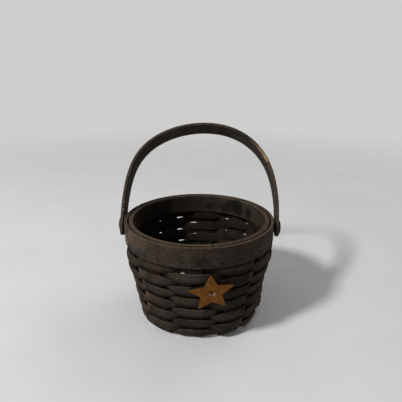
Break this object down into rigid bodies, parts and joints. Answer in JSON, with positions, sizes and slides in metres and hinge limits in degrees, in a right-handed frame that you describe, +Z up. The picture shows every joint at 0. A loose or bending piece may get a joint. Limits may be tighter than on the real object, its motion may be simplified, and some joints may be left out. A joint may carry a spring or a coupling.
{
  "type": "woven splint basket",
  "caption": "Small round basket of woven flat wooden splints, with two rim bands, a swing handle on wooden buttons and a wooden star on its front.",
  "frame": {"origin": "the middle of the base's flat underside, on the surface that the basket stands on", "axes": "+Z up, the basket's front with the star at -Y, the handle's pivots on a line along X"},
  "size_m": [0.181, 0.1821, 0.2061],
  "materials": {
    "weaver_wood": "dark walnut stain, worn satin",
    "splint_wood": "dark walnut stain, matte",
    "rim_wood": "dark walnut stain, worn satin",
    "handle_wood": "dark walnut stain, worn satin, scuffed to bare wood at the right shoulder",
    "button_wood": "dark walnut stain, satin",
    "star_paint": "orange mustard paint on wood, rubbed at the edges",
    "nail_steel": "dull steel"
  },
  "bodies": {
    "basket": {"splint_1": "splint_wood", "splint_2": "splint_wood", "splint_3": "splint_wood", "splint_4": "splint_wood", "splint_5": "splint_wood", "splint_6": "splint_wood", "weaver_row_01": "weaver_wood", "weaver_row_02": "weaver_wood", "weaver_row_03": "weaver_wood", "weaver_row_04": "weaver_wood", "weaver_row_05": "weaver_wood", "weaver_row_06": "weaver_wood", "weaver_row_07": "weaver_wood", "weaver_row_08": "weaver_wood", "weaver_row_09": "weaver_wood", "weaver_row_10": "weaver_wood", "weaver_row_11": "weaver_wood", "weaver_row_12": "weaver_wood", "outer_rim_band": "rim_wood", "inner_rim_band": "rim_wood", "rim_nail_1": "nail_steel", "rim_nail_2": "nail_steel", "rim_nail_3": "nail_steel", "rim_nail_4": "nail_steel", "pivot_pin_right": "nail_steel", "pivot_washer_right": "button_wood", "pivot_button_right": "button_wood", "pivot_pin_left": "nail_steel", "pivot_washer_left": "button_wood", "pivot_button_left": "button_wood", "star": "star_paint", "star_nail": "nail_steel"},
    "handle": {"handle": "handle_wood"}
  },
  "joints": [
    {"name": "handle_swing", "type": "hinge", "parent": "basket", "child": "handle", "pos_m": [0, 0, 0.1031], "axis": [1, 0, 0], "range_deg": [-95, 179]}
  ]
}
